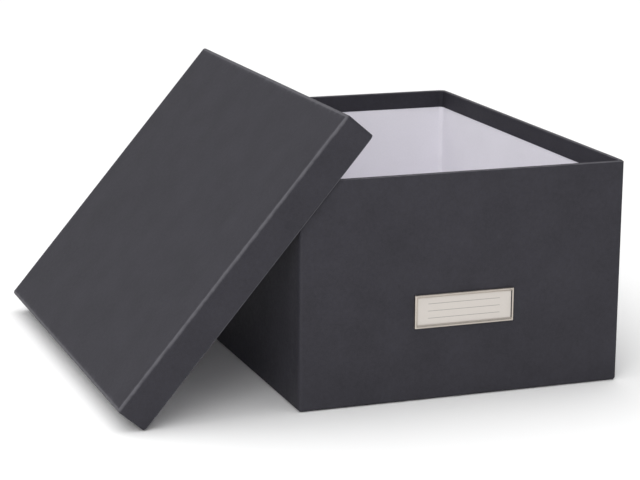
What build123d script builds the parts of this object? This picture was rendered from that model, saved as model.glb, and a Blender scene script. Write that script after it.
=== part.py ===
"""Archival box: a covered greyboard tray and its lid, with a metal label holder on the front.

Millimetres, +Z up. The origin is the middle of the tray's underside: the labelled front faces -Y,
+X is to the right. The lid is off the tray and leans against its left wall: the skirt at its lower
end stands on the surface, its panel lies on the top of the wall, and its long skirts straddle the tray.
"""

import os
from math import cos, radians, sin

from build123d import *

# Tray
BOX_WIDTH = 260.0  # along X, the labelled end
BOX_DEPTH = 344.0  # along Y
BOX_HEIGHT = 173.0

# Lid
LID_HEIGHT = 26.0
LID_CLEARANCE = 0.9  # between tray wall and skirt, each side
LID_TILT = 49.8  # slope of the panel, degrees
LEAN_GAP = 2.0  # between the lid's inside and the tray's rim
LID_FLOOR_GAP = 0.1  # under the skirt that stands on the surface

# Board and papers
BOARD = 2.0
COVER_PAPER = 0.3
LINING_PAPER = 0.2
STAY_TAPE = 0.12
WALL = COVER_PAPER + BOARD + LINING_PAPER + COVER_PAPER  # at the rim, where the cover is turned in
TURN_IN = 15.0  # width of the cover's margin turned in over the rim, and under the base
COVER_MARGIN = 3.0  # the base cover stops this far from the tray's edge
COVER_LAP = 0.4  # how far the base cover's sunk middle runs under its step
BOARD_EDGE_RADIUS = 2.0
EDGE_RADIUS = BOARD_EDGE_RADIUS + COVER_PAPER
BOARD_RIM_RADIUS = 0.8
RIM_RADIUS = BOARD_RIM_RADIUS + COVER_PAPER
STAY_LEG = 15.0
STAY_END_GAP = 2.0  # the stays stop this far from the board's edges
LINING_TOP_GAP = 1.0  # the lining ends this far under the board's rim

# Label holder and card
FRAME_WIDTH = 80.0
FRAME_HEIGHT = 25.5
FRAME_PROUD = 2.0
FRAME_SHEET = 0.4
FRAME_CENTRE_HEIGHT = 69.0
CREST_WIDTH = 1.3  # flat top of the frame's border
SLOPE = 0.7  # then a 45 degree step down to the lip
LIP_WIDTH = 0.4
SLOPE_OFFSET = FRAME_SHEET * 0.4142  # sheet thickness seen across the 45 degree step
FRAME_EDGE_RADIUS = 0.5
PRONG_WIDTH = 4.0
PRONG_SPACING = 60.0
PRONG_FOLD = 6.0  # length folded flat inside the tray
SLOT_CLEARANCE = 0.1
CARD_GAP = 0.3  # all round the card, and either side of it
CARD_THICKNESS = 0.3
CARD_END_GAP = 0.6  # between the card and the frame's border at the open end

SIDES = ("front", "rear", "left", "right")
CORNERS = {"front_left": (-1, -1), "front_right": (1, -1), "rear_left": (-1, 1), "rear_right": (1, 1)}


def block(half_x, half_y, low, high):
    """A block centred on the Z axis, from height low to height high."""
    return Pos(0, 0, (low + high) / 2) * Box(2 * half_x, 2 * half_y, high - low)


def slab(x_range, y_range, z_range):
    """A block between two values on each axis."""
    sizes = [high - low for low, high in (x_range, y_range, z_range)]
    middles = [(low + high) / 2 for low, high in (x_range, y_range, z_range)]
    return Pos(*middles) * Box(*sizes)


def rounded_block(half_x, half_y, low, high, radius):
    """A block whose upright and bottom edges are rounded."""
    body = block(half_x, half_y, low, high)
    upright = body.edges().filter_by(Axis.Z)
    bottom = body.faces().sort_by(Axis.Z)[0].edges()
    return fillet(upright + bottom, radius)


def open_tray(half_x, half_y, low, high, wall, floor, edge_radius, rim_radius):
    """A tray with one wall thickness all round, its outside edges and its rim rounded."""
    outside = rounded_block(half_x, half_y, low, high, edge_radius)
    tray = outside - block(half_x - wall, half_y - wall, low + floor, high + 1)
    rim = tray.faces().sort_by(Axis.Z)[-1].edges()
    return fillet(rim, rim_radius)


class Tray:
    """One covered tray, open upward: the box itself, or the lid lying on its back."""

    def __init__(self, width, depth, height, floor_low):
        """floor_low is the height of the floor board's underside, over the paper below it."""
        self.width, self.depth, self.height = width, depth, height
        self.floor_low = floor_low
        self.board_x = width / 2 - COVER_PAPER
        self.board_y = depth / 2 - COVER_PAPER
        self.board_top = height - COVER_PAPER
        self.inner_x = self.board_x - BOARD
        self.inner_y = self.board_y - BOARD
        self.floor_top = floor_low + BOARD
        self.band_low = height - TURN_IN

    def board_tray(self):
        """The greyboard alone, before it is cut into its five boards."""
        return open_tray(
            self.board_x, self.board_y, self.floor_low, self.board_top,
            BOARD, BOARD, BOARD_EDGE_RADIUS, BOARD_RIM_RADIUS,
        )

    def boards(self):
        """Floor board and four walls; the front and rear walls run the full width."""
        tray = self.board_tray()
        full_x = (-self.width, self.width)
        inside_y = (-self.inner_y, self.inner_y)
        heights = (0, self.height)
        places = {
            "floor": block(self.inner_x, self.inner_y, 0, self.height),
            "front": slab(full_x, (-self.depth, -self.inner_y), heights),
            "rear": slab(full_x, (self.inner_y, self.depth), heights),
            "left": slab((-self.width, -self.inner_x), inside_y, heights),
            "right": slab((self.inner_x, self.width), inside_y, heights),
        }
        return {name: tray & place for name, place in places.items()}

    def corner_stays(self):
        """Tape folded round the outside of each upright corner of the boards."""
        low = self.floor_low + STAY_END_GAP
        high = self.board_top - STAY_END_GAP
        tape_x, tape_y = self.board_x + STAY_TAPE, self.board_y + STAY_TAPE
        sleeve = block(tape_x, tape_y, low, high)
        sleeve = fillet(sleeve.edges().filter_by(Axis.Z), BOARD_EDGE_RADIUS + STAY_TAPE)
        core = block(self.board_x, self.board_y, low - 1, high + 1)
        sleeve -= fillet(core.edges().filter_by(Axis.Z), BOARD_EDGE_RADIUS)
        stays = {}
        for name, (side_x, side_y) in CORNERS.items():
            x_range = sorted((side_x * (tape_x - STAY_LEG), side_x * self.width))
            y_range = sorted((side_y * (tape_y - STAY_LEG), side_y * self.depth))
            stays[name] = sleeve & slab(x_range, y_range, (low, high))
        return stays

    def wall_lining(self):
        """White paper inside the walls; its upper margin is under the turned-in cover."""
        low, high = self.floor_top, self.board_top - LINING_TOP_GAP
        outside = block(self.inner_x, self.inner_y, low, high)
        return outside - block(self.inner_x - LINING_PAPER, self.inner_y - LINING_PAPER, low, high)

    def floor_lining(self):
        """White paper on the floor board."""
        half_x, half_y = self.inner_x - LINING_PAPER, self.inner_y - LINING_PAPER
        return block(half_x, half_y, self.floor_top, self.floor_top + LINING_PAPER)

    def wrap(self, cover_low):
        """Cover paper outside the boards, over the rim and down the inside as a band."""
        skin = open_tray(
            self.width / 2, self.depth / 2, cover_low, self.height,
            WALL, self.floor_top - cover_low, EDGE_RADIUS, RIM_RADIUS,
        )
        skin -= self.board_tray()
        skin -= block(self.inner_x, self.inner_y, self.floor_low, self.band_low)
        skin -= self.wall_lining()
        for stay in self.corner_stays().values():
            skin -= stay
        return skin


def place_prongs(make):
    """One solid per prong, from a function of its middle on X and of its side, up or down."""
    solids = []
    for x in (-PRONG_SPACING / 2, PRONG_SPACING / 2):
        for side in (-1, 1):
            solids.append(make(x, side))
    return solids


def prong_height(side, clearance):
    """Heights between which a prong passes through the wall, from the frame's centre line."""
    outer = FRAME_HEIGHT / 2 + clearance
    inner = FRAME_HEIGHT / 2 - FRAME_SHEET - clearance
    return sorted((FRAME_CENTRE_HEIGHT + side * inner, FRAME_CENTRE_HEIGHT + side * outer))


def prong_slot(x, side):
    """The slit that a prong passes through."""
    half = PRONG_WIDTH / 2 + SLOT_CLEARANCE
    front = -BOX_DEPTH / 2
    return slab((x - half, x + half), (front - 1, front + 2 * WALL), prong_height(side, SLOT_CLEARANCE))


def prong(x, side):
    """A prong through the wall, with its end folded flat on the lining towards the centre line."""
    x_range = (x - PRONG_WIDTH / 2, x + PRONG_WIDTH / 2)
    front = -BOX_DEPTH / 2
    inside = front + COVER_PAPER + BOARD + LINING_PAPER
    shank = slab(x_range, (front, inside + FRAME_SHEET), prong_height(side, 0))
    outer = FRAME_CENTRE_HEIGHT + side * FRAME_HEIGHT / 2
    fold_heights = sorted((outer, outer - side * PRONG_FOLD))
    return shank + slab(x_range, (inside, inside + FRAME_SHEET), fold_heights)


def frame_block(inset, low, high):
    """A block of the frame's outline less an inset, from low to high above the wall's face."""
    x_range = (inset - FRAME_WIDTH / 2, FRAME_WIDTH / 2 - inset)
    y_range = (-BOX_DEPTH / 2 - high, -BOX_DEPTH / 2 - low)
    half_height = FRAME_HEIGHT / 2 - inset
    z_range = (FRAME_CENTRE_HEIGHT - half_height, FRAME_CENTRE_HEIGHT + half_height)
    return slab(x_range, y_range, z_range)


def frame_step(inset, high, drop):
    """A block with 45 degree sides: its outline is inset at high, and drop smaller at its foot."""
    outline = Rectangle(FRAME_WIDTH - 2 * inset, FRAME_HEIGHT - 2 * inset)
    # The plane faces +Y, so the block goes in towards the wall and its sides close in.
    plane = Plane((0, -BOX_DEPTH / 2 - high, FRAME_CENTRE_HEIGHT), x_dir=(1, 0, 0), z_dir=(0, 1, 0))
    return extrude(plane * outline, drop, taper=45)


def make_label_frame():
    """A pressed sheet border with a stepped lip; its right-hand end has no lip and is open behind."""
    lip_face = FRAME_PROUD - SLOPE
    lip_back = lip_face - FRAME_SHEET
    crest_back = FRAME_PROUD - FRAME_SHEET
    body = frame_block(0, 0, FRAME_PROUD)
    crest = body.faces().sort_by(Axis.Y)[0].edges()
    ends = body.edges().filter_by(Axis.Y)
    body = fillet(crest + ends, FRAME_EDGE_RADIUS)
    body -= frame_step(CREST_WIDTH, FRAME_PROUD, SLOPE)
    body -= frame_block(CREST_WIDTH + SLOPE + LIP_WIDTH, -1, FRAME_PROUD + 1)
    half_window = FRAME_HEIGHT / 2 - CREST_WIDTH - SLOPE - LIP_WIDTH
    body -= slab(
        (0, FRAME_WIDTH / 2 - CREST_WIDTH),
        (-BOX_DEPTH / 2 - FRAME_PROUD - 1, -BOX_DEPTH / 2 + 1),
        (FRAME_CENTRE_HEIGHT - half_window, FRAME_CENTRE_HEIGHT + half_window),
    )
    body -= frame_block(FRAME_SHEET, -1, lip_back)
    channel = frame_block(FRAME_SHEET, lip_back, crest_back)
    channel -= frame_step(CREST_WIDTH - SLOPE_OFFSET, crest_back, SLOPE)
    body -= channel
    half_card = FRAME_HEIGHT / 2 - FRAME_SHEET
    body -= slab(
        (FRAME_WIDTH / 2 - 2 * FRAME_SHEET, FRAME_WIDTH),
        (-BOX_DEPTH / 2 - lip_back, -BOX_DEPTH / 2),
        (FRAME_CENTRE_HEIGHT - half_card, FRAME_CENTRE_HEIGHT + half_card),
    )
    for solid in place_prongs(prong):
        body += solid
    return body


def make_label_card():
    """The card, which slides in behind the lip from the right and stops just inside the border."""
    inset = FRAME_SHEET + CARD_GAP
    card = frame_block(inset, CARD_GAP, CARD_GAP + CARD_THICKNESS)
    end = FRAME_WIDTH / 2 - CREST_WIDTH - CARD_END_GAP
    everywhere = (-BOX_DEPTH, BOX_DEPTH)
    return card & slab((-FRAME_WIDTH, end), everywhere, everywhere)


def make_base_cover():
    """Paper under the base: its margin lies on the turned-under cover, its middle on the board."""
    half_x, half_y = BOX_WIDTH / 2, BOX_DEPTH / 2
    middle_x, middle_y = half_x - TURN_IN, half_y - TURN_IN
    margin = block(half_x - COVER_MARGIN, half_y - COVER_MARGIN, 0, COVER_PAPER)
    margin -= block(middle_x - COVER_LAP, middle_y - COVER_LAP, 0, COVER_PAPER)
    return margin + block(middle_x, middle_y, COVER_PAPER, 2 * COVER_PAPER)


def make_box():
    """Every piece of the tray, by node name."""
    tray = Tray(BOX_WIDTH, BOX_DEPTH, BOX_HEIGHT, floor_low=2 * COVER_PAPER)
    boards = tray.boards()
    parts = {"base_board": boards["floor"]}
    for side in SIDES:
        parts[side + "_wall_board"] = boards[side]
    for corner, stay in tray.corner_stays().items():
        parts["box_corner_stay_" + corner] = stay
    wrap = tray.wrap(cover_low=COVER_PAPER)
    # Under the base the cover is only a turned-under margin.
    wrap -= block(BOX_WIDTH / 2 - TURN_IN, BOX_DEPTH / 2 - TURN_IN, 0, 2 * COVER_PAPER)
    parts["box_wrap"] = wrap
    parts["wall_lining"] = tray.wall_lining()
    parts["floor_lining"] = tray.floor_lining()
    for slot in place_prongs(prong_slot):
        for name in ("front_wall_board", "box_wrap", "wall_lining"):
            parts[name] -= slot
    parts["base_cover"] = make_base_cover()
    parts["label_frame"] = make_label_frame()
    parts["label_card"] = make_label_card()
    return parts


def lid_location(lid_width):
    """Carries the lid from lying on its back at the origin to leaning on the tray's left wall.

    The panel faces up and to the left. Its outer plane is set by the rounded rim below it, and its
    place along that plane by the skirt's free edge, which stands on the surface.
    """
    tilt = radians(LID_TILT)
    # Distance of the panel's outer plane from the origin, along its outward normal.
    rim_x = RIM_RADIUS - BOX_WIDTH / 2
    rim_z = BOX_HEIGHT - RIM_RADIUS
    rim_distance = rim_z * cos(tilt) - rim_x * sin(tilt) + RIM_RADIUS
    panel = COVER_PAPER + BOARD + LINING_PAPER
    plane_distance = rim_distance + LEAN_GAP + panel
    # Height of the middle of the panel's outer face, from the rounded corner of the free edge.
    corner_height = RIM_RADIUS + LID_FLOOR_GAP
    from_corner_x = lid_width / 2 - RIM_RADIUS
    from_corner_z = LID_HEIGHT - RIM_RADIUS
    middle_z = corner_height + from_corner_x * sin(tilt) + from_corner_z * cos(tilt)
    middle_x = (middle_z * cos(tilt) - plane_distance) / sin(tilt)
    # On its back the lid's opening is up, so a half turn less the tilt brings it over.
    return Location((middle_x, 0, middle_z), (0, 180 - LID_TILT, 0))


def make_lid():
    """Every piece of the lid, by node name, where it leans."""
    rim_to_rim = 2 * (LID_CLEARANCE + WALL)
    lid = Tray(BOX_WIDTH + rim_to_rim, BOX_DEPTH + rim_to_rim, LID_HEIGHT, floor_low=COVER_PAPER)
    # Lying on its back, the lid has its left end on +X.
    turned_over = {"front": "front", "rear": "rear", "left": "right", "right": "left"}
    boards = lid.boards()
    stays = lid.corner_stays()
    parts = {"lid_panel_board": boards["floor"]}
    for side in SIDES:
        parts["lid_" + side + "_skirt_board"] = boards[turned_over[side]]
    for corner in CORNERS:
        face, side = corner.split("_")
        parts["lid_corner_stay_" + corner] = stays[face + "_" + turned_over[side]]
    parts["lid_wrap"] = lid.wrap(cover_low=0)
    parts["lid_lining"] = lid.wall_lining() + lid.floor_lining()
    location = lid_location(lid.width)
    return {name: location * solid for name, solid in parts.items()}


def main():
    os.makedirs("parts", exist_ok=True)
    parts = make_box()
    parts.update(make_lid())
    for name, solid in parts.items():
        export_step(solid, os.path.join("parts", name + ".step"))
        box = solid.bounding_box()
        print(name, "volume", round(solid.volume, 1), "from", box.min, "to", box.max)


if __name__ == "__main__":
    main()
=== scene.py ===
"""Archival box: a paper-covered greyboard tray with a metal label holder, its lid leaning on it.

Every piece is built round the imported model, in metres: +Z up, the labelled front faces -Y.
"""

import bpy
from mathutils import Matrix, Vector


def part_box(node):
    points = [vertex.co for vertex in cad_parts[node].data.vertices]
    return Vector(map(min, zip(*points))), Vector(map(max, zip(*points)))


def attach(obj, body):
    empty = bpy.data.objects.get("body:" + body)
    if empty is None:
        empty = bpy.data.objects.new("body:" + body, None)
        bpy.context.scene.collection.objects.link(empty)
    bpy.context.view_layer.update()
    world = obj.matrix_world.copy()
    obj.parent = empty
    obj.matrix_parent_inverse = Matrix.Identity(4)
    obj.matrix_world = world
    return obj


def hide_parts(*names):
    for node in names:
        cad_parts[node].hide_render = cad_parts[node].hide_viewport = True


bl_info = {
    "name": "Archival box",
    "version": (1, 0, 0),
    "blender": (4, 5, 0),
    "location": "3D View > Sidebar > Archival box",
    "description": "Covers, lines and labels a greyboard box and its lid, on a plain stage",
    "category": "Object",
}

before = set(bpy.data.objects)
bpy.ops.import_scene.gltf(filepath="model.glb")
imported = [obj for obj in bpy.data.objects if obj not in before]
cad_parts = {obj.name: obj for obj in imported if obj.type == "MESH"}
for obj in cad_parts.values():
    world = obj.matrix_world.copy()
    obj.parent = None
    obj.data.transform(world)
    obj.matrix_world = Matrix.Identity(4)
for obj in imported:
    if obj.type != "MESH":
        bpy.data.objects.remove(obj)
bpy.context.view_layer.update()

from dataclasses import dataclass
from math import ceil, cos, pi, radians, sin

import bmesh
import bpy
from bpy.props import FloatProperty, FloatVectorProperty, PointerProperty
from bpy.types import Operator, Panel, PropertyGroup
from mathutils import Matrix, Vector, noise

MM = 0.001
# Each side, and its direction on the way round, anticlockwise from above.
SIDES = (("front", (1, 0)), ("right", (0, 1)), ("rear", (-1, 0)), ("left", (0, -1)))

# The mesh
SPACING = 9 * MM  # size of a face on the flats
SUPPORT = 0.7 * MM  # from a bend to the first mesh line beside it
PANEL_BORDER = 12 * MM  # width of the mesh border round a flat panel
CORNER_STEPS = 8  # round an upright corner
EDGE_STEPS = 8  # round the edge of a panel
RIM_STEPS = 6  # round each half of a rim
SHARP = 0.01 * MM  # radius of a corner that is left sharp
ROLL_SHARES = (0.75, 0.5, 0.3, 0.15, 0.05)  # mesh lines across a panel's rolled border

# Wear and painted highlight on the cover's edges, where 1 is a rubbed edge that also carries a painted
# highlight
PANEL_WEAR_AND_HIGHLIGHT = 0.45  # on the panel, next to its edge: rubbing, and a painted highlight spread onto the panel
BAND_WEAR = 0.4  # at the cut edge of the turned-in cover

# The papers
ROLL_DROP = 0.18 * MM  # how far a panel falls away at its edge
LAP_PROUD = 0.12 * MM  # how proud the skin of a side stands over a glue lap
LAP_CUT = 1.0 * MM  # from an upright corner to the cut edge of a side's skin
LAP_SLOPE = 1.2 * MM  # width over which the skin comes down off a glue lap
CRUSH_REACH = 6 * MM  # how far along the rim a corner is crushed
CRUSH_DROP = 0.25 * MM  # how far a rim's corner is crushed down
RIPPLE_LENGTH = 45 * MM  # of the slow wave in glued paper
LINING_LAP = 6 * MM  # how far the lining goes up behind the turned-in cover
LINING_FOLD = 0.8 * MM  # radius of the lining where it turns up the skirt
BASE_CORNER = 1 * MM  # corner radius of the base sheet

# The label holder and its card
HOLDER_CORNER = 0.5 * MM  # radius of the corners of its outline
PRONG_FOLD = 6 * MM  # length of a prong folded over inside the tray
PRONG_TIP = 0.35  # width of a prong's tip, as a share of its width
PRONG_TAPER = 1.2 * MM  # length over which a prong narrows to its tip
CARD_CORNER = 0.8 * MM
CARD_END = 0.25 * MM  # how far the card's end is drawn past its CAD solid
RULE_PITCH = 5.5 * MM  # between the ruled lines of the card
RULE_WIDTH = 0.35 * MM
RULE_MARGIN = 9 * MM  # from the ends of the lines to the card's end

# The stage
FLOOR_REACH = 12.0
KEY_SIZE, KEY_PLACE = 1.6, (-1.6, -2.2, 1.7)
LOW_SIZE, LOW_PLACE = 1.0, (-1.2, -2.2, 0.35)
LIGHT_AIM = (-0.1, 0, 0.1)
OVERHEAD_SPREAD = radians(75)
OVERHEAD_TURN = (radians(-12), radians(-10), 0)


# ---- measures taken from the frame


@dataclass
class Shell:
    """A covered tray, open upward: the tray itself, or the lid lying on its back."""

    half_x: float
    half_y: float
    low: float  # underside of the cover paper
    floor_low: float  # underside of the floor board
    height: float
    paper: float
    board: float
    lining: float

    @property
    def floor_top(self):
        return self.floor_low + self.board

    @property
    def wall(self):
        """Thickness of a wall at its rim, where the cover is turned in."""
        return 2 * self.paper + self.board + self.lining


def paper_measures():
    """Thickness of the cover paper, the greyboard and the lining, from their CAD solids."""
    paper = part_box("front_wall_board")[0].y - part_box("box_wrap")[0].y
    board_low, board_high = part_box("base_board")
    lining_low, lining_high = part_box("floor_lining")
    return paper, board_high.z - board_low.z, lining_high.z - lining_low.z


def tray_shell():
    """The tray's measures, where it stands."""
    low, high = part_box("box_wrap")
    paper, board, lining = paper_measures()
    return Shell(high.x, high.y, low.z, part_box("base_board")[0].z, high.z, paper, board, lining)


def lid_shell(lid_height):
    """The lid's measures, lying on its back at the origin."""
    tray_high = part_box("box_wrap")[1]
    lid_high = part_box("lid_wrap")[1]
    paper, board, lining = paper_measures()
    half_x = tray_high.x + lid_high.y - tray_high.y
    return Shell(half_x, lid_high.y, 0, paper, lid_height, paper, board, lining)


def lid_place(shell, sizes):
    """What carries the lid from its back at the origin to where it leans, by its CAD solid's box."""
    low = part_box("lid_wrap")[0]
    tilt, edge, rim = sizes.lid_tilt, sizes.edge_radius, sizes.rim_radius
    half_height = shell.height / 2
    # The lowest point is on the rounded rim of the free edge, the leftmost on the panel's edge.
    middle_z = low.z + rim + (shell.half_x - rim) * sin(tilt) + (half_height - rim) * cos(tilt)
    middle_x = low.x + edge + (shell.half_x - edge) * cos(tilt) + (half_height - edge) * sin(tilt)
    turn = Matrix.Rotation(pi - tilt, 4, "Y")
    return Matrix.Translation((middle_x, 0, middle_z)) @ turn @ Matrix.Translation((0, 0, -half_height))


# ---- mesh building


@dataclass
class Station:
    """One place on the way round a rounded rectangle."""

    side: str  # "corner" on the rounded corners
    share_x: float  # from the middle, where 1 and -1 are at the start of a corner's rounding
    share_y: float
    out_x: float  # the outward direction
    out_y: float


@dataclass
class Point:
    """One point of a wall's section: how far in from the outside, how high, and what it is."""

    inset: float
    height: float
    radius: float  # of the corner in plan
    wear_and_highlight: float = 0.0  # 1 on a worn, rounded edge, which also carries a painted highlight
    face: str = "back"  # "outside", "rim", "band", "inside" or "under" where it shows


def side_shares(half, radius, marks):
    """Shares of a straight side: at the marks by its ends, and evenly spaced between the last marks."""
    straight = half - radius
    open_run = 2 * (straight - marks[-1])
    count = ceil(open_run / SPACING)
    inner = [-1 + (marks[-1] + i * open_run / count) / straight for i in range(1, count)]
    ends = [1 - distance / straight for distance in marks]
    return sorted(inner + ends + [-end for end in ends])


def plan_stations(half_x, half_y, radius, marks=(SUPPORT,), steps=CORNER_STEPS):
    """The way round, anticlockwise from above, starting on the front side.

    The marks are distances from the corners to the mesh lines near them, smallest first.
    """
    shares = {
        "front": side_shares(half_x, radius, marks),
        "right": side_shares(half_y, radius, marks),
    }
    shares["rear"], shares["left"] = shares["front"], shares["right"]
    stations = []
    for number, (side, (x, y)) in enumerate(SIDES):
        for share in shares[side]:
            stations.append(Station(side, x * share + y, y * share - x, y, -x))
        for step in range(steps + 1):
            angle = radians(90 * (number - 1 + step / steps))
            stations.append(Station("corner", x + y, y - x, cos(angle), sin(angle)))
    return stations


def arc(centre, radius, start, end, steps):
    """Points on an arc in the wall's section, from start to end in degrees; 180 is outward."""
    places = []
    for step in range(steps + 1):
        angle = radians(start + (end - start) * step / steps)
        places.append((centre[0] + radius * cos(angle), centre[1] + radius * sin(angle)))
    return places


def split_run(start, end):
    """Points strictly between two points: one close to each end, and the rest evenly spaced."""
    run = Vector(end) - Vector(start)
    length = run.length
    if length < 3 * SUPPORT:
        return []
    open_run = length - 2 * SUPPORT
    count = max(1, ceil(open_run / SPACING))
    distances = [SUPPORT + open_run * i / count for i in range(count + 1)]
    return [tuple(Vector(start) + run * (distance / length)) for distance in distances]


def bridge(mesh, rings):
    """Joins each ring of vertices to the next with faces."""
    for ring, following in zip(rings, rings[1:]):
        for i in range(len(ring)):
            j = (i + 1) % len(ring)
            mesh.faces.new((ring[i], ring[j], following[j], following[i]))


def cap_grid(mesh, stations, half_x, half_y, height):
    """A grid inside a square-cornered ring, with the ring's own stations along its border."""
    shares_x = [-1] + [s.share_x for s in stations if s.side == "front"] + [1]
    shares_y = [-1] + [s.share_y for s in stations if s.side == "right"] + [1]
    rows = [[mesh.verts.new((x * half_x, y * half_y, height)) for x in shares_x] for y in shares_y]
    for lower, upper in zip(rows, rows[1:]):
        for i in range(len(lower) - 1):
            mesh.faces.new((lower[i], lower[i + 1], upper[i + 1], upper[i]))
    return [vert for row in rows for vert in row]


def sweep(shell_x, shell_y, stations, section, closed):
    """A skin from a section carried round a rounded rectangle, with its wear and painted highlight as a
    vertex attribute.

    An open section starts and ends at square-cornered rings, which are filled with a grid.
    """
    mesh = bmesh.new()
    wear_and_highlight = mesh.verts.layers.float.new("wear_and_highlight")
    shown = mesh.verts.layers.int.new("shown")
    rings = []
    for point in section:
        ring = []
        half_x, half_y = shell_x - point.inset, shell_y - point.inset
        for station in stations:
            x = station.share_x * (half_x - point.radius) + station.out_x * point.radius
            y = station.share_y * (half_y - point.radius) + station.out_y * point.radius
            vert = mesh.verts.new((x, y, point.height))
            vert[wear_and_highlight] = point.wear_and_highlight
            vert[shown] = 0 if point.face == "back" else 1
            ring.append(vert)
        rings.append(ring)
    bridge(mesh, rings + rings[:1] if closed else rings)
    if not closed:
        for point in (section[0], section[-1]):
            half_x, half_y = shell_x - point.inset, shell_y - point.inset
            for vert in cap_grid(mesh, stations, half_x, half_y, point.height):
                vert[shown] = 0 if point.face == "back" else 1
    bmesh.ops.remove_doubles(mesh, verts=mesh.verts, dist=1e-7)
    bmesh.ops.recalc_face_normals(mesh, faces=mesh.faces)
    return mesh


def ripple(mesh, height, seed):
    """Moves the faces that show in and out by a slow, small wave, as glued paper lies on board."""
    shown = mesh.verts.layers.int["shown"]
    mesh.normal_update()
    moves = []
    for vert in mesh.verts:
        if vert[shown]:
            place = vert.co / RIPPLE_LENGTH + Vector((seed, 0, 0))
            wave = noise.fractal(place, 0.8, 2.0, 3)  # three waves, each half as long and 0.57 as high
            moves.append((vert, vert.normal * wave * height))
    for vert, move in moves:
        vert.co += move


def finished_piece(mesh, name, body, make, sharp=35):
    """Turns a bmesh into a smooth-shaded piece that rides on a body; make is its material's maker."""
    data = bpy.data.meshes.new(name)
    mesh.to_mesh(data)
    mesh.free()
    data.shade_smooth()
    data.set_sharp_from_angle(angle=radians(sharp))
    piece = bpy.data.objects.new(name, data)
    bpy.context.scene.collection.objects.link(piece)
    data.materials.append(material_of(make))
    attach(piece, body)
    return piece


def add_block(mesh, low, high):
    """Adds a closed block between two corners."""
    heights = (low[2], high[2])
    places = [(x, y, z) for z in heights for y in (low[1], high[1]) for x in (low[0], high[0])]
    verts = [mesh.verts.new(place) for place in places]
    for face in ((0, 2, 3, 1), (4, 5, 7, 6), (0, 1, 5, 4), (2, 6, 7, 3), (0, 4, 6, 2), (1, 3, 7, 5)):
        mesh.faces.new([verts[i] for i in face])


# ---- label holder


def holder_place():
    """What puts a flat holder, facing +Z, on the tray's front, and its half width and height."""
    low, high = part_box("label_frame")
    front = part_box("box_wrap")[0].y
    turn = Matrix.Rotation(radians(90), 4, "X")
    place = Matrix.Translation((0, front, (low.z + high.z) / 2)) @ turn
    return place, (high.x - low.x) / 2, (high.z - low.z) / 2


def bend(corner, before, after, radius, steps):
    """Points that round a corner of a path, tangent to its two straight runs."""
    corner, before, after = Vector(corner), Vector(before), Vector(after)
    into, out = (corner - before).normalized(), (after - corner).normalized()
    half_turn = into.angle(out) / 2
    if half_turn < 0.001:
        return [tuple(corner)] * (steps + 1)
    reach = radius * sin(half_turn) / cos(half_turn)
    start, end = corner - into * reach, corner + out * reach
    middle = corner + (out - into).normalized() * radius / cos(half_turn)
    points = []
    for step in range(steps + 1):
        ray = (start - middle).slerp(end - middle, step / steps)
        points.append(tuple(middle + ray.normalized() * radius))
    return points


def rounded_path(corners, radii, steps=4):
    """A closed path through corners, each rounded by its own radius."""
    path = []
    for number, (corner, radius) in enumerate(zip(corners, radii)):
        before, after = corners[number - 1], corners[(number + 1) % len(corners)]
        path += bend(corner, before, after, radius, steps)
    return path


def holder_sections(sizes):
    """Sections of the border: the stepped one, and the plain one at the open end.

    Each is a closed path of inset from the outline and height over the tray's front.
    """
    sheet, proud, crest = sizes.holder_sheet, sizes.holder_proud, sizes.holder_crest
    step, lip = sizes.holder_step, sizes.holder_lip
    lip_face = proud - step
    foot = crest + step
    shift = sheet * 0.414  # the sheet's thickness seen across its 45 degree step
    # Radii of the outside and the inside of a bend, of the lip's rounded end, and of a cut edge.
    outer, inner, nose, cut = 1.2 * sheet, 0.25 * sheet, 0.45 * sheet, 0.1 * sheet
    stepped = (
        ((0, 0), cut),
        ((0, proud), outer),
        ((crest, proud), outer),
        ((foot, lip_face), 0.7 * sheet),
        ((foot + lip, lip_face), nose),
        ((foot + lip, lip_face - sheet), nose),
        ((foot - shift, lip_face - sheet), 0.9 * sheet),
        ((crest - shift, proud - sheet), inner),
        ((sheet, proud - sheet), inner),
        ((sheet, 0), cut),
    )
    # The plain section has as many corners, so that the two can be joined point by point.
    low = lip_face - sheet
    plain = (
        ((0, low), cut),
        ((0, proud), outer),
        ((crest, proud), nose),
        *(((crest, proud - share * sheet), SHARP) for share in (0.5, 0.6, 0.7, 0.8)),
        ((crest, proud - sheet), cut),
        ((sheet, proud - sheet), inner),
        ((sheet, low), cut),
    )
    return [rounded_path(*zip(*section)) for section in (stepped, plain)]


def holder_corner(half_x, half_y, side_x, side_y, start, inset, steps=4):
    """Points round one corner of the holder's outline at an inset; start is in degrees."""
    turn = max(HOLDER_CORNER - inset, 0)
    middle_x = side_x * (half_x - max(HOLDER_CORNER, inset))
    middle_y = side_y * (half_y - max(HOLDER_CORNER, inset))
    angles = [radians(start + 90 * step / steps) for step in range(steps + 1)]
    return [(middle_x + turn * cos(angle), middle_y + turn * sin(angle)) for angle in angles]


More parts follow.
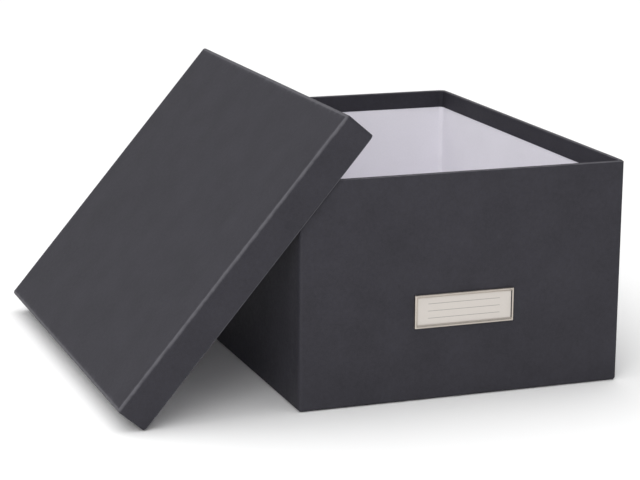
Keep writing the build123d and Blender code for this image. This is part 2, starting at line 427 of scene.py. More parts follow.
def holder_mesh(half_x, half_y, sizes):
    """The pressed border, flat and facing +Z, with a stepped lip on three sides."""
    stepped, plain = holder_sections(sizes)
    open_x = half_x - sizes.holder_crest
    mesh = bmesh.new()
    rings = []
    for (inset, height), (end_inset, end_height) in zip(stepped, plain):
        left_foot = holder_corner(half_x, half_y, -1, -1, 180, inset)
        right_foot = holder_corner(half_x, half_y, 1, -1, 270, end_inset)
        right_top = holder_corner(half_x, half_y, 1, 1, 0, end_inset)
        left_top = holder_corner(half_x, half_y, -1, 1, 90, inset)
        lower, upper = (open_x, inset - half_y), (open_x, half_y - inset)
        way = [(x, y, height) for x, y in left_foot + [lower]]
        way += [(x, y, end_height) for x, y in right_foot + right_top]
        way += [(x, y, height) for x, y in [upper] + left_top]
        rings.append([mesh.verts.new(place) for place in way])
    bridge(mesh, rings + rings[:1])
    bmesh.ops.remove_doubles(mesh, verts=mesh.verts, dist=1e-6)
    bmesh.ops.dissolve_degenerate(mesh, edges=mesh.edges, dist=1e-7)
    bmesh.ops.recalc_face_normals(mesh, faces=mesh.faces)
    return mesh


def prongs_mesh(half_y, sizes):
    """Four strips from the border through the wall, folded flat inside towards the middle."""
    shell = tray_shell()
    sheet, half_width = sizes.holder_sheet, sizes.prong_width / 2
    inside = -(shell.wall - shell.paper)  # face of the lining
    mesh = bmesh.new()
    tip = half_y - PRONG_FOLD
    corners = (
        (half_y, -shell.paper),
        (half_y, inside - sheet),
        (tip, inside - sheet),
        (tip, inside),
        (half_y - sheet, inside),
        (half_y - sheet, -shell.paper),
    )
    path = rounded_path(corners, (SHARP, 0.9 * sheet, 0.3 * sheet, 0.3 * sheet, SHARP, SHARP))
    for side_x in (-1, 1):
        middle = side_x * sizes.prong_spacing / 2
        for side_y in (-1, 1):
            flanks = []
            for flank in (-1, 1):
                verts = []
                for y, z in path:
                    # The end of a prong is cut to a blunt point.
                    widening = min(1, max(0, y - tip) / PRONG_TAPER)
                    reach = half_width * (PRONG_TIP + (1 - PRONG_TIP) * widening)
                    verts.append(mesh.verts.new((middle + flank * reach, side_y * y, z)))
                flanks.append(verts)
            bridge(mesh, flanks)
            for verts in flanks:
                mesh.faces.new(verts)
    bmesh.ops.recalc_face_normals(mesh, faces=mesh.faces)
    return mesh


# ---- materials


def linear(hex_colour):
    """An sRGB hex colour as linear red, green and blue."""
    channels = [int(hex_colour[i : i + 2], 16) / 255 for i in (0, 2, 4)]
    return tuple(c / 12.92 if c <= 0.04045 else ((c + 0.055) / 1.055) ** 2.4 for c in channels)


def add_node(material, kind, inputs=None, **settings):
    """Adds a node: settings are its own values, inputs are socket values or sockets to link from."""
    tree = material.node_tree
    made = tree.nodes.new(kind)
    for name, value in settings.items():
        setattr(made, name, value)
    for name, value in (inputs or {}).items():
        if isinstance(value, bpy.types.NodeSocket):
            tree.links.new(value, made.inputs[name])
        else:
            made.inputs[name].default_value = value
    return made


def new_material(name):
    """An empty node material, and its object coordinates."""
    material = bpy.data.materials.new(name)
    material.use_nodes = True
    material.node_tree.nodes.clear()
    return material, add_node(material, "ShaderNodeTexCoord").outputs["Object"]


def mottled(material, colour, grains):
    """A colour that some noises make lighter and darker; returns it, and the noises.

    Each grain is where its noise lies, its scale and detail, and how deeply it colours. A noise
    averages 0.5, so the tone starts low enough to be 1 on average.
    """
    tone = 1 - sum(depth for *_, depth in grains) / 2
    noises = []
    for place, scale, detail, depth in grains:
        grid = {"Vector": place, "Scale": scale, "Detail": detail}
        noises.append(add_node(material, "ShaderNodeTexNoise", grid).outputs["Fac"])
        step = {0: noises[-1], 1: depth, 2: tone}
        tone = add_node(material, "ShaderNodeMath", step, operation="MULTIPLY_ADD").outputs[0]
    dyed = {"Factor": 1, 6: (*colour, 1), 7: tone}
    mix = add_node(material, "ShaderNodeMix", dyed, data_type="RGBA", blend_type="MULTIPLY")
    return mix.outputs[2], noises


def cover_paper(colours):
    """Book-cover paper: uncoated, dyed in the pulp and calendered, glued down wet over board.

    The eye sees a matt charcoal with a soft cloudy formation, short fibres a little lighter than the
    rest, and rubbed, paler edges where the sheet is drawn tight over the board, which also carry a
    painted highlight.
    """
    material, place = new_material("charcoal_cover_paper")
    # Clouds are 26 mm across and clumps of fibre 2.8 mm. Real fibres are 0.03 mm thick, and are drawn
    # ten times coarser to show. They lie askew to the box, so that every side shows their length.
    fibre_scale = (1 / (0.35 * MM), 1 / (1.75 * MM), 1 / (0.7 * MM))
    lie = {"Vector": place, "Rotation": (0.4, 0.7, 0.3), "Scale": fibre_scale}
    along = add_node(material, "ShaderNodeMapping", lie).outputs[0]
    grains = ((place, 1 / (26 * MM), 4, 0.45), (place, 1 / (2.8 * MM), 3, 0.6), (along, 1, 2, 0.8))
    dyed, (_, flecks, fibres) = mottled(material, colours.cover, grains)

    # Rubbing and the painted highlight come and go along an edge, over a few millimetres.
    wear_and_highlight = add_node(material, "ShaderNodeAttribute", attribute_name="wear_and_highlight").outputs["Fac"]
    rub_and_highlight_grid = {"Vector": place, "Scale": 1 / (6 * MM), "Detail": 3}
    rub_and_highlight_patches = add_node(material, "ShaderNodeTexNoise", rub_and_highlight_grid).outputs["Fac"]
    uneven = add_node(material, "ShaderNodeMath", {0: rub_and_highlight_patches, 1: 0.9, 2: wear_and_highlight}, operation="MULTIPLY_ADD")
    share = {"Value": uneven.outputs[0], "From Min": 0.55, "From Max": 1.5, "To Max": 0.62}
    rubbed_and_highlight = add_node(material, "ShaderNodeMapRange", share, interpolation_type="SMOOTHSTEP").outputs[0]
    # Pales the edges towards the rubbed colour: real rubbing, and a painted highlight.
    worn_and_highlight_mix = {"Factor": rubbed_and_highlight, 6: dyed, 7: (*colours.cover_rubbed_highlight, 1)}
    surface = add_node(material, "ShaderNodeMix", worn_and_highlight_mix, data_type="RGBA").outputs[2]

    rough = {"Value": flecks, "From Min": 0.3, "From Max": 0.7, "To Min": 0.58, "To Max": 0.72}
    relief = add_node(material, "ShaderNodeMath", {0: fibres, 1: flecks}, operation="ADD").outputs[0]
    bump = {"Strength": 0.35, "Distance": 0.05 * MM, "Height": relief}
    return material, {
        "Base Color": surface,
        "Roughness": add_node(material, "ShaderNodeMapRange", rough).outputs[0],
        "IOR": 1.47,
        "Specular IOR Level": 0.22,
        "Normal": add_node(material, "ShaderNodeBump", bump).outputs[0],
    }


def lining_paper(colours):
    """White lining paper: smooth, uncoated, machine-finished. It looks soft, with a faint cloud."""
    material, place = new_material("white_lining_paper")
    # Clouds are 35 mm across. The 0.1 mm grain is too fine to show, and is drawn 1.6 mm across.
    grains = ((place, 1 / (35 * MM), 3, 0.07), (place, 1 / (1.6 * MM), 2, 0.06))
    surface, (_, flecks) = mottled(material, colours.lining, grains)
    rough = {"Value": flecks, "From Min": 0.3, "From Max": 0.7, "To Min": 0.70, "To Max": 0.82}
    bump = {"Strength": 0.2, "Distance": 0.03 * MM, "Height": flecks}
    return material, {
        "Base Color": surface,
        "Roughness": add_node(material, "ShaderNodeMapRange", rough).outputs[0],
        "IOR": 1.5,
        "Specular IOR Level": 0.3,
        "Normal": add_node(material, "ShaderNodeBump", bump).outputs[0],
    }


def greyboard(colours):
    """Greyboard: recycled pulp pressed in layers. It is brown-grey, specked, and dull."""
    material, place = new_material("greyboard")
    # Clouds of pulp are 9 mm across, and specks of old print 0.7 mm.
    grains = ((place, 1 / (9 * MM), 3, 0.25), (place, 1 / (0.7 * MM), 2, 0.5))
    surface, (_, specks) = mottled(material, colours.greyboard, grains)
    bump = {"Strength": 0.5, "Distance": 0.08 * MM, "Height": specks}
    return material, {
        "Base Color": surface,
        "Roughness": 0.9,
        "Normal": add_node(material, "ShaderNodeBump", bump).outputs[0],
    }


def gummed_tape(colours):
    """Gummed kraft tape: brown, with long fibres along it and a slight gloss from its glue."""
    material, place = new_material("gummed_kraft_tape")
    # Kraft fibres are 0.03 mm thick; their bundles are drawn 0.6 mm wide and 5.4 mm long to show.
    stretch = {"Vector": place, "Scale": (1 / (0.6 * MM), 1 / (0.6 * MM), 1 / (5.4 * MM))}
    along = add_node(material, "ShaderNodeMapping", stretch).outputs[0]
    surface, _ = mottled(material, colours.tape, ((along, 1, 3, 0.45),))
    return material, {"Base Color": surface, "Roughness": 0.55}


def plated_steel(colours):
    """Mild steel strip, pressed and nickel plated: a warm satin metal, with fine lines from rolling."""
    material, place = new_material("satin_nickel_plate")
    # Lines from rolling are 0.01 mm wide, and are drawn 0.12 mm wide to show.
    stretch = {"Vector": place, "Scale": (1 / (7 * MM), 1 / (0.12 * MM), 1 / (0.12 * MM))}
    along = add_node(material, "ShaderNodeMapping", stretch).outputs[0]
    line_grid = {"Vector": along, "Scale": 1, "Detail": 2}
    lines = add_node(material, "ShaderNodeTexNoise", line_grid).outputs["Fac"]
    surface, _ = mottled(material, colours.plate, ((place, 1 / (5 * MM), 3, 0.15),))
    rough = {"Value": lines, "From Min": 0.3, "From Max": 0.7, "To Min": 0.26, "To Max": 0.34}
    bump = {"Strength": 0.15, "Distance": 0.01 * MM, "Height": lines}
    return material, {
        "Base Color": surface,
        "Metallic": 1.0,
        "Roughness": add_node(material, "ShaderNodeMapRange", rough).outputs[0],
        "Normal": add_node(material, "ShaderNodeBump", bump).outputs[0],
    }


def card_stock(colours):
    """Label card: off-white uncoated card, blank but for three faint printed writing lines."""
    material, place = new_material("label_card_stock")
    # The grain is 0.1 mm across, and is drawn 1 mm across to show.
    paper, _ = mottled(material, colours.card, ((place, 1 / (1 * MM), 2, 0.06),))

    # Ink is where the distances to the nearest line, to the middle line and to the card's middle are
    # small enough, and only on its front.
    low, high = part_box("label_card")
    across = add_node(material, "ShaderNodeSeparateXYZ", {0: place}).outputs
    from_middle = {0: across["Z"], 1: (low.z + high.z) / 2}
    height = add_node(material, "ShaderNodeMath", from_middle, operation="SUBTRACT").outputs[0]
    to_line = add_node(material, "ShaderNodeMath", {0: height, 1: RULE_PITCH / 2}, operation="PINGPONG")
    to_middle_line = add_node(material, "ShaderNodeMath", {0: height}, operation="ABSOLUTE")
    to_middle = add_node(material, "ShaderNodeMath", {0: across["X"]}, operation="ABSOLUTE")
    limits = (
        (to_line.outputs[0], RULE_WIDTH / 2),
        (to_middle_line.outputs[0], 1.5 * RULE_PITCH),
        (to_middle.outputs[0], high.x - RULE_MARGIN),
        (across["Y"], (low.y + high.y) / 2),
    )
    inked = 1.0
    for distance, reach in limits:
        within = add_node(material, "ShaderNodeMath", {0: distance, 1: reach}, operation="LESS_THAN")
        both = {0: within.outputs[0], 1: inked}
        inked = add_node(material, "ShaderNodeMath", both, operation="MULTIPLY").outputs[0]
    ruled = {"Factor": inked, 6: paper, 7: (*colours.ruling, 1)}
    surface = add_node(material, "ShaderNodeMix", ruled, data_type="RGBA").outputs[2]
    return material, {"Base Color": surface, "Roughness": 0.75, "Specular IOR Level": 0.3}


def studio_floor(colours):
    """A roll of matt white studio paper."""
    material, _ = new_material("studio_paper")
    return material, {"Base Color": (*colours.floor, 1), "Roughness": 0.9, "Specular IOR Level": 0.1}


def material_of(make):
    """A material by its maker, made once: the maker gives its shader's finish."""
    scene = bpy.context.scene
    key = "made_" + make.__name__
    material = bpy.data.materials.get(scene.get(key, ""))
    if material is None:
        material, finish = make(scene.archival_box_colours)
        shader = add_node(material, "ShaderNodeBsdfPrincipled", finish)
        add_node(material, "ShaderNodeOutputMaterial", {"Surface": shader.outputs[0]})
        scene[key] = material.name
    return material


# ---- sections of the papers


def corner_inside(shell, sizes, inset):
    """Plan radius of an inside corner's paper, at an inset from the outside."""
    return sizes.inner_radius + shell.wall - inset


def cover_section(shell, sizes, turned_under):
    """The cover paper's section: outside, over the rim, down the inside, and back along the board."""
    edge, rim, paper = sizes.edge_radius, sizes.rim_radius, shell.paper
    top, wall = shell.height, shell.wall
    band_low = top - sizes.turn_in
    under = sizes.turn_in if turned_under else PANEL_BORDER
    lid_rub_and_highlight = 0 if turned_under else 1  # only the lid's panel edge is rubbed pale, by handling, and painted with a highlight where light falls on it

    def rim_corner(inset):
        """The plan radius grows across the rim, from the outer corner's to the inner corner's."""
        return edge + (sizes.inner_radius - edge) * inset / wall

    def outer_corner(inset):
        return max(edge - inset, 0)

    def inner_corner(inset):
        return corner_inside(shell, sizes, inset)

    section = []

    def add(places, corner, wear_and_highlight, face):
        for inset, height in places:
            section.append(Point(inset, height, corner(inset), wear_and_highlight, face))

    def add_arc(places, corner, face):
        """Wear and its painted highlight are greatest at the middle of a bend."""
        for number, (inset, height) in enumerate(places):
            wear_and_highlight = sin(pi * number / (len(places) - 1))
            section.append(Point(inset, height, corner(inset), wear_and_highlight, face))

    # Outside, from under the base up to the rim. A board's border is a little lower than its middle.
    start, border = (under, shell.low), (edge + sizes.roll_width, shell.low)
    add([start], outer_corner, 0, "under")
    if under > border[0]:
        add(split_run(start, border), outer_corner, 0, "under")
    # On the lid, rubbing and a painted highlight spread from the panel's edge onto its rolled border,
    # fading inward.
    for share in ROLL_SHARES:
        inset = edge + sizes.roll_width * share
        if inset < under:
            height = shell.low + ROLL_DROP * (1 - share) ** 2
            wear_and_highlight = PANEL_WEAR_AND_HIGHLIGHT * lid_rub_and_highlight * max(0, 1 - 2 * share)
            section.append(Point(inset, height, 0, wear_and_highlight, "under"))
    # On the lid, rubbing and a painted highlight round the panel's edge, strongest on the panel side.
    for number, (inset, height) in enumerate(arc((edge, 0), edge, -90, -180, EDGE_STEPS)):
        height = shell.low + edge + height * (edge - ROLL_DROP) / edge
        wear_and_highlight = lid_rub_and_highlight * (1 - (number / EDGE_STEPS) ** 2)
        section.append(Point(inset, height, outer_corner(inset), wear_and_highlight, "outside"))
    add(split_run((0, shell.low + edge), (0, top - rim)), outer_corner, 0, "outside")
    # The rims carry rubbing and a painted highlight, greatest at the middle of each bend.
    add_arc(arc((rim, top - rim), rim, 180, 90, RIM_STEPS), rim_corner, "outside")
    add_arc(arc((wall - rim, top - rim), rim, 90, 0, RIM_STEPS), rim_corner, "rim")
    add(split_run((wall, top - rim), (wall, band_low)), rim_corner, 0, "band")
    add([(wall, band_low)], rim_corner, BAND_WEAR, "band")
    # Back, against the board, in fewer steps, as it doesn't show.
    back = wall - paper
    add([(back, band_low), (back, top - rim)], inner_corner, 0, "back")
    add(arc((wall - rim, top - rim), rim - paper, 0, 90, steps=4)[1:], rim_corner, 0, "back")
    add(arc((rim, top - rim), rim - paper, 90, 180, steps=4), rim_corner, 0, "back")
    add(arc((edge, shell.low + edge), edge - paper, 180, 270, steps=5), outer_corner, 0, "back")
    add([(under, shell.low + paper)], outer_corner, 0, "back")
    return section


def press_laps(mesh, shell, sizes):
    """Presses the glue laps into the end skins.

    The cover goes round each upright corner and is glued down under the skin of the left or right
    side, so that the skin stands a little proud over the lap and ends in a cut edge by the corner.
    """
    shown = mesh.verts.layers.int["shown"]
    for vert in mesh.verts:
        if not vert[shown] or abs(abs(vert.co.x) - shell.half_x) > SHARP:
            continue
        from_corner = shell.half_y - sizes.edge_radius - abs(vert.co.y)
        over_lap = min(1, max(0, (sizes.lap_width - from_corner) / LAP_SLOPE))
        skin = 0 if from_corner < LAP_CUT else 1
        vert.co.x += (1 if vert.co.x > 0 else -1) * LAP_PROUD * (over_lap * skin - 0.5)


def soften_rim_corners(mesh, shell, sizes):
    """Lets the four corners of the rim down a little, as board ends crush under the folded paper."""
    depth = 3 * sizes.rim_radius
    for vert in mesh.verts:
        from_x = max(0, shell.half_x - sizes.edge_radius - abs(vert.co.x))
        from_y = max(0, shell.half_y - sizes.edge_radius - abs(vert.co.y))
        near = max(0, 1 - (from_x**2 + from_y**2) ** 0.5 / CRUSH_REACH)
        high = max(0, 1 - (shell.height - vert.co.z) / depth)
        vert.co.z -= CRUSH_DROP * near * near * high


def cover_mesh(shell, sizes, turned_under, seed):
    """The cover paper of a tray or a lid, as one folded sheet with its own thickness."""
    half_gap = 0.05 * MM  # between the two mesh lines at the cut edge
    marks = (LAP_CUT - half_gap, LAP_CUT + half_gap, sizes.lap_width - LAP_SLOPE, sizes.lap_width)
    stations = plan_stations(shell.half_x, shell.half_y, sizes.edge_radius, marks)
    section = cover_section(shell, sizes, turned_under)
    mesh = sweep(shell.half_x, shell.half_y, stations, section, closed=turned_under)
    press_laps(mesh, shell, sizes)
    soften_rim_corners(mesh, shell, sizes)
    ripple(mesh, sizes.ripple_height, seed)
    return mesh


def inner_stations(shell, sizes):
    """The way round the inside of a tray."""
    return plan_stations(shell.half_x - shell.wall, shell.half_y - shell.wall, sizes.inner_radius)


def wall_lining_mesh(shell, sizes, seed):
    """A band of lining paper inside the walls; its top margin is under the turned-in cover."""
    front = shell.wall - shell.paper
    back = front - shell.lining
    low, high = shell.floor_top, shell.height - sizes.turn_in + LINING_LAP
    foot, head = (front, low), (front, high)
    section = []
    for inset, height in [foot, *split_run(foot, head), head]:
        section.append(Point(inset, height, corner_inside(shell, sizes, inset), 0, "inside"))
    for height in (high, low):
        section.append(Point(back, height, corner_inside(shell, sizes, back), 0, "back"))
    mesh = sweep(shell.half_x, shell.half_y, inner_stations(shell, sizes), section, closed=True)
    ripple(mesh, sizes.ripple_height, seed)
    return mesh


def sheet_mesh(high, low_z, high_z, radius, steps, shown_up):
    """A flat sheet out to a corner's x and y: under, round its cut edge, and over."""
    up, down = ("inside", "back") if shown_up else ("back", "under")
    section = [
        Point(PANEL_BORDER, low_z, 0, 0, down),
        Point(0, low_z, radius, 0, down),
        Point(0, high_z, radius, 0, up),
        Point(PANEL_BORDER, high_z, 0, 0, up),
    ]
    stations = plan_stations(high.x, high.y, radius, steps=steps)
    return sweep(high.x, high.y, stations, section, closed=False)


# ---- properties


class BoxSizes(PropertyGroup):
    """Sizes that shape the papers and the label holder."""

    roll_width: FloatProperty(
        name="Rolled border", default=7 * MM, unit="LENGTH",
        description="Width over which a panel falls away to its edge",
    )
    turn_in: FloatProperty(
        name="Turn-in", default=15 * MM, unit="LENGTH",
        description="Width of the cover turned in over the rim",
    )
    edge_radius: FloatProperty(
        name="Edge radius", default=2.3 * MM, unit="LENGTH",
        description="Rounding of the covered outer edges",
    )
    rim_radius: FloatProperty(
        name="Rim radius", description="Rounding of the covered rim", default=1.1 * MM, unit="LENGTH"
    )
    inner_radius: FloatProperty(
        name="Inside corner", default=3.5 * MM, unit="LENGTH",
        description="Radius at which paper turns in the inside corners",
    )
    lid_height: FloatProperty(
        name="Lid height", description="Outside height of the lid", default=26 * MM, unit="LENGTH"
    )
    lid_tilt: FloatProperty(
        name="Lid tilt", description="Slope of the leaning lid", default=radians(49.8), unit="ROTATION"
    )
    lap_width: FloatProperty(
        name="Glue lap", default=14 * MM, unit="LENGTH",
        description="How far the cover goes round each upright corner",
    )
    ripple_height: FloatProperty(
        name="Ripple height", default=0.05 * MM, unit="LENGTH",
        description="Height of the slow wave in glued paper",
    )
    holder_sheet: FloatProperty(
        name="Holder sheet", default=0.4 * MM, unit="LENGTH",
        description="Thickness of the label holder's steel",
    )
    holder_proud: FloatProperty(
        name="Holder height", default=2 * MM, unit="LENGTH",
        description="How proud the holder stands of the front",
    )
    holder_crest: FloatProperty(
        name="Holder crest", default=1.3 * MM, unit="LENGTH",
        description="Width of the flat of its border",
    )
    holder_step: FloatProperty(
        name="Holder step", default=0.7 * MM, unit="LENGTH",
        description="Depth of the step down to its lip",
    )
    holder_lip: FloatProperty(
        name="Holder lip", description="Width of the lip over the card", default=0.4 * MM, unit="LENGTH"
    )
    prong_width: FloatProperty(
        name="Prong width", description="Width of each fixing prong", default=4 * MM, unit="LENGTH"
    )
    prong_spacing: FloatProperty(
        name="Prong spacing", default=60 * MM, unit="LENGTH",
        description="Distance between the prongs along the holder",
    )


class BoxColours(PropertyGroup):
    """Colours of the materials, in linear light."""

    cover: FloatVectorProperty(
        name="Cover", description="Charcoal cover paper", default=linear("302F35"), subtype="COLOR"
    )
    # Colour of rubbed edges, which also serves as a painted highlight on them.
    cover_rubbed_highlight: FloatVectorProperty(
        name="Rubbed cover", default=linear("626166"), subtype="COLOR",
        description="Cover paper on rubbed edges",
    )
    lining: FloatVectorProperty(
        name="Lining", description="White lining paper", default=linear("E9E7ED"), subtype="COLOR"
    )
    greyboard: FloatVectorProperty(
        name="Greyboard", default=linear("8D857B"), subtype="COLOR",
        description="Board under the papers",
    )
    tape: FloatVectorProperty(
        name="Tape", default=linear("A98457"), subtype="COLOR",
        description="Gummed tape on the board's corners",
    )
    plate: FloatVectorProperty(
        name="Plating", default=linear("C0B8AF"), subtype="COLOR",
        description="Nickel plate of the label holder",
    )
    card: FloatVectorProperty(
        name="Card", description="Label card", default=linear("C8C2BC"), subtype="COLOR"
    )
    ruling: FloatVectorProperty(
        name="Ruling", default=linear("8A8783"), subtype="COLOR",
        description="Printed lines of the card",
    )
    floor: FloatVectorProperty(
        name="Floor", description="Studio floor", default=linear("F8F8F8"), subtype="COLOR"
    )


class StageSettings(PropertyGroup):
    """Camera and lights."""

    camera_place: FloatVectorProperty(
        name="Camera place", default=(-0.6308, -1.5745, 0.4846), unit="LENGTH",
        description="Where the camera stands",
    )
    camera_turn: FloatProperty(
        name="Camera turn", default=radians(-20.205), unit="ROTATION",
        description="Turn to the left from +Y",
    )
    camera_pitch: FloatProperty(
        name="Camera pitch", default=radians(13.37), unit="ROTATION",
        description="Tilt below the horizon",
    )
    camera_roll: FloatProperty(
        name="Camera roll", default=radians(0.469), unit="ROTATION",
        description="Roll about the line of sight",
    )
    camera_lens: FloatProperty(
        name="Lens", description="Focal length on a 36 mm sensor, in mm", default=119.87
    )
    sky: FloatProperty(
        name="Sky", description="Strength of the even white light all round", default=0.45
    )
    overhead: FloatProperty(
        name="Overhead light", description="Strength of the soft light above, in W/m2", default=2.0
    )
    key: FloatProperty(
        name="Key light", description="Power of the large light in front, in watts", default=27.0
    )
    low: FloatProperty(
        name="Low light", description="Power of the low fill light in front, in watts", default=13.0
    )


# ---- operators


class BOX_OT_cover_tray(Operator):
    """Cover the tray's boards in paper, turned in over the rim and under the base"""

    bl_idname = "archival_box.cover_tray"
    bl_label = "Cover the tray"

    def execute(self, context):
        sizes = context.scene.archival_box_sizes
        mesh = cover_mesh(tray_shell(), sizes, True, seed=1.0)
        piece = finished_piece(mesh, "tray_cover_paper", "box", cover_paper)
        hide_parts("box_wrap")
        return {"FINISHED"}


class BOX_OT_cover_base(Operator):
    """Paste the base sheet over the turned-under margins"""

    bl_idname = "archival_box.cover_base"
    bl_label = "Cover the base"

    def execute(self, context):
        low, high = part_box("base_cover")
        mesh = sheet_mesh(high, low.z, low.z + tray_shell().paper, BASE_CORNER, 4, shown_up=False)
        piece = finished_piece(mesh, "base_sheet", "box", cover_paper)
        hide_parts("base_cover")
        return {"FINISHED"}


class BOX_OT_line_tray(Operator):
    """Line the tray's walls and floor with white paper"""

    bl_idname = "archival_box.line_tray"
    bl_label = "Line the tray"

    def execute(self, context):
        sizes = context.scene.archival_box_sizes
        shell = tray_shell()
        mesh = wall_lining_mesh(shell, sizes, seed=7.0)
        walls = finished_piece(mesh, "tray_wall_lining", "box", lining_paper)
        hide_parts("wall_lining")
        low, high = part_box("floor_lining")
        radius = sizes.inner_radius + shell.paper
        mesh = sheet_mesh(high, low.z, high.z, radius, CORNER_STEPS, shown_up=True)
        ripple(mesh, sizes.ripple_height, 3.0)
        floor = finished_piece(mesh, "tray_floor_lining", "box", lining_paper)
        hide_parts("floor_lining")
        return {"FINISHED"}


class BOX_OT_cover_lid(Operator):
    """Cover the lid's boards in paper, turned in over the skirt's free edge"""

    bl_idname = "archival_box.cover_lid"
    bl_label = "Cover the lid"

    def execute(self, context):
        sizes = context.scene.archival_box_sizes
        shell = lid_shell(sizes.lid_height)
        mesh = cover_mesh(shell, sizes, False, seed=21.0)
        mesh.transform(lid_place(shell, sizes))
        piece = finished_piece(mesh, "lid_cover_paper", "lid", cover_paper)
        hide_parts("lid_wrap")
        return {"FINISHED"}


class BOX_OT_line_lid(Operator):
    """Line the inside of the lid with white paper"""

    bl_idname = "archival_box.line_lid"
    bl_label = "Line the lid"

    def execute(self, context):
        sizes = context.scene.archival_box_sizes
        shell = lid_shell(sizes.lid_height)
        front = shell.wall - shell.paper
        back = front - shell.lining
        panel, top = shell.floor_top + shell.lining, shell.height - sizes.turn_in + LINING_LAP
        border = front + PANEL_BORDER
        fold = (front + LINING_FOLD, panel + LINING_FOLD)
        section = [Point(border, panel, 0, 0, "inside")]
        for inset, height in [*arc(fold, LINING_FOLD, -90, -180, steps=4), (front, top)]:
            section.append(Point(inset, height, corner_inside(shell, sizes, inset), 0, "inside"))
        for height in (top, shell.floor_top):
            section.append(Point(back, height, corner_inside(shell, sizes, back), 0, "back"))
        section.append(Point(border, shell.floor_top, 0, 0, "back"))
        mesh = sweep(shell.half_x, shell.half_y, inner_stations(shell, sizes), section, closed=False)
        ripple(mesh, sizes.ripple_height / 2, 11.0)
        mesh.transform(lid_place(shell, sizes))
        piece = finished_piece(mesh, "lid_lining_paper", "lid", lining_paper)
        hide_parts("lid_lining")
        return {"FINISHED"}


class BOX_OT_label_holder(Operator):
    """Press the label holder's stepped border, and fold its prongs over inside the tray"""

    bl_idname = "archival_box.label_holder"
    bl_label = "Label holder"

    def execute(self, context):
        sizes = context.scene.archival_box_sizes
        place, half_x, half_y = holder_place()
        border = holder_mesh(half_x, half_y, sizes)
        border.transform(place)
        holder = finished_piece(border, "label_holder", "box", plated_steel, sharp=50)
        prongs = prongs_mesh(half_y, sizes)
        prongs.transform(place)
        name = "label_holder_prongs"
        folded = finished_piece(prongs, name, "box", plated_steel, sharp=50)
        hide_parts("label_frame")
        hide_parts("label_frame")
        return {"FINISHED"}


class BOX_OT_label_card(Operator):
    """Cut the label card and slide it into its holder"""

    bl_idname = "archival_box.label_card"
    bl_label = "Label card"

    def execute(self, context):
        low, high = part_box("label_card")
        mesh = bmesh.new()
        add_block(mesh, low, (high.x + CARD_END, high.y, high.z))
        corners = [edge for edge in mesh.edges if edge.calc_length() < 2 * (high.y - low.y)]
        bmesh.ops.bevel(mesh, geom=corners, offset=CARD_CORNER, segments=4, affect="EDGES", profile=0.5)
        card = finished_piece(mesh, "label_card_blank", "label_card", card_stock)
        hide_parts("label_card")
        return {"FINISHED"}


class BOX_OT_boards(Operator):
    """Give the greyboard panels and the tape on their corners their finish"""

    bl_idname = "archival_box.boards"
    bl_label = "Boards and corner tape"

    def execute(self, context):
        for name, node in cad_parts.items():
            for sign, make in (("_board", greyboard), ("_corner_stay_", gummed_tape)):
                if sign in name:
                    node.data.materials.clear()
                    node.data.materials.append(material_of(make))
        return {"FINISHED"}


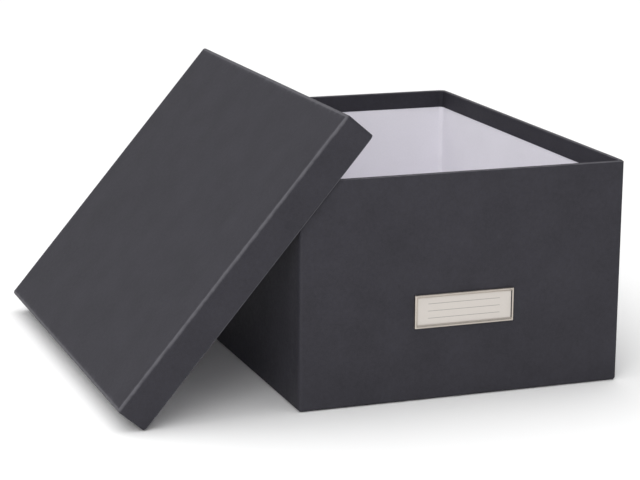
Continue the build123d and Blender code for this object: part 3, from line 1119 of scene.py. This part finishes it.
class BOX_OT_stage(Operator):
    """Set the floor, the lights and the camera"""

    bl_idname = "archival_box.stage"
    bl_label = "Stage"

    def execute(self, context):
        settings = context.scene.archival_box_stage
        scene = context.scene
        mesh = bmesh.new()
        corners = ((-1, -1), (1, -1), (1, 1), (-1, 1))
        mesh.faces.new([mesh.verts.new((x * FLOOR_REACH, y * FLOOR_REACH, 0)) for x, y in corners])
        data = bpy.data.meshes.new("studio_floor")
        mesh.to_mesh(data)
        mesh.free()
        floor = bpy.data.objects.new("studio_floor", data)
        scene.collection.objects.link(floor)
        data.materials.append(material_of(studio_floor))

        world = bpy.data.worlds.new("studio_sky")
        world.use_nodes = True
        background = world.node_tree.nodes["Background"]
        background.inputs["Color"].default_value = (1, 1, 1, 1)
        background.inputs["Strength"].default_value = settings.sky
        scene.world = world

        overhead = bpy.data.lights.new("overhead_light", "SUN")
        overhead.energy = settings.overhead
        overhead.angle = OVERHEAD_SPREAD
        overhead_lamp = bpy.data.objects.new("overhead_light", overhead)
        overhead_lamp.rotation_euler = OVERHEAD_TURN
        scene.collection.objects.link(overhead_lamp)

        softboxes = (
            ("key_light", settings.key, KEY_SIZE, KEY_PLACE),
            ("low_light", settings.low, LOW_SIZE, LOW_PLACE),
        )
        for name, power, size, place in softboxes:
            light = bpy.data.lights.new(name, "AREA")
            light.energy = power
            light.shape = "DISK"
            light.size = size
            lamp = bpy.data.objects.new(name, light)
            lamp.location = place
            aim = Vector(LIGHT_AIM) - Vector(place)
            lamp.rotation_euler = aim.to_track_quat("-Z", "Y").to_euler()
            scene.collection.objects.link(lamp)

        camera_data = bpy.data.cameras.new("camera")
        camera_data.sensor_width = 36
        camera_data.lens = settings.camera_lens
        camera_data.clip_end = 100
        camera = bpy.data.objects.new("camera", camera_data)
        scene.collection.objects.link(camera)
        turn = Matrix.Rotation(settings.camera_turn, 4, "Z")
        pitch = Matrix.Rotation(radians(90) - settings.camera_pitch, 4, "X")
        roll = Matrix.Rotation(settings.camera_roll, 4, "Z")
        camera.matrix_world = Matrix.Translation(settings.camera_place) @ turn @ pitch @ roll
        scene.camera = camera
        scene.view_settings.view_transform = "Standard"
        return {"FINISHED"}


class BOX_PT_panel(Panel):
    """Lists the steps and their settings"""

    bl_idname = "BOX_PT_panel"
    bl_label = "Archival box"
    bl_space_type = "VIEW_3D"
    bl_region_type = "UI"
    bl_category = "Archival box"

    def draw(self, context):
        layout = self.layout
        for operator in OPERATORS:
            layout.operator(operator.bl_idname)
        for group_name in GROUPS:
            group = getattr(context.scene, group_name)
            box = layout.box()
            for name in group.__annotations__:
                box.prop(group, name)


OPERATORS = (
    BOX_OT_cover_tray,
    BOX_OT_cover_base,
    BOX_OT_line_tray,
    BOX_OT_cover_lid,
    BOX_OT_line_lid,
    BOX_OT_label_holder,
    BOX_OT_label_card,
    BOX_OT_boards,
    BOX_OT_stage,
)
GROUPS = {
    "archival_box_sizes": BoxSizes,
    "archival_box_colours": BoxColours,
    "archival_box_stage": StageSettings,
}


def register():
    for group_name, group in GROUPS.items():
        bpy.utils.register_class(group)
        setattr(bpy.types.Scene, group_name, PointerProperty(type=group))
    for operator in OPERATORS:
        bpy.utils.register_class(operator)
    bpy.utils.register_class(BOX_PT_panel)


def unregister():
    bpy.utils.unregister_class(BOX_PT_panel)
    for operator in reversed(OPERATORS):
        bpy.utils.unregister_class(operator)
    for group_name, group in GROUPS.items():
        delattr(bpy.types.Scene, group_name)
        bpy.utils.unregister_class(group)


def main():
    """Makes every piece and the stage."""
    register()
    bpy.ops.archival_box.cover_tray()
    bpy.ops.archival_box.cover_base()
    bpy.ops.archival_box.line_tray()
    bpy.ops.archival_box.cover_lid()
    bpy.ops.archival_box.line_lid()
    bpy.ops.archival_box.label_holder()
    bpy.ops.archival_box.label_card()
    bpy.ops.archival_box.boards()
    bpy.ops.archival_box.stage()


if __name__ == "__main__":
    main()
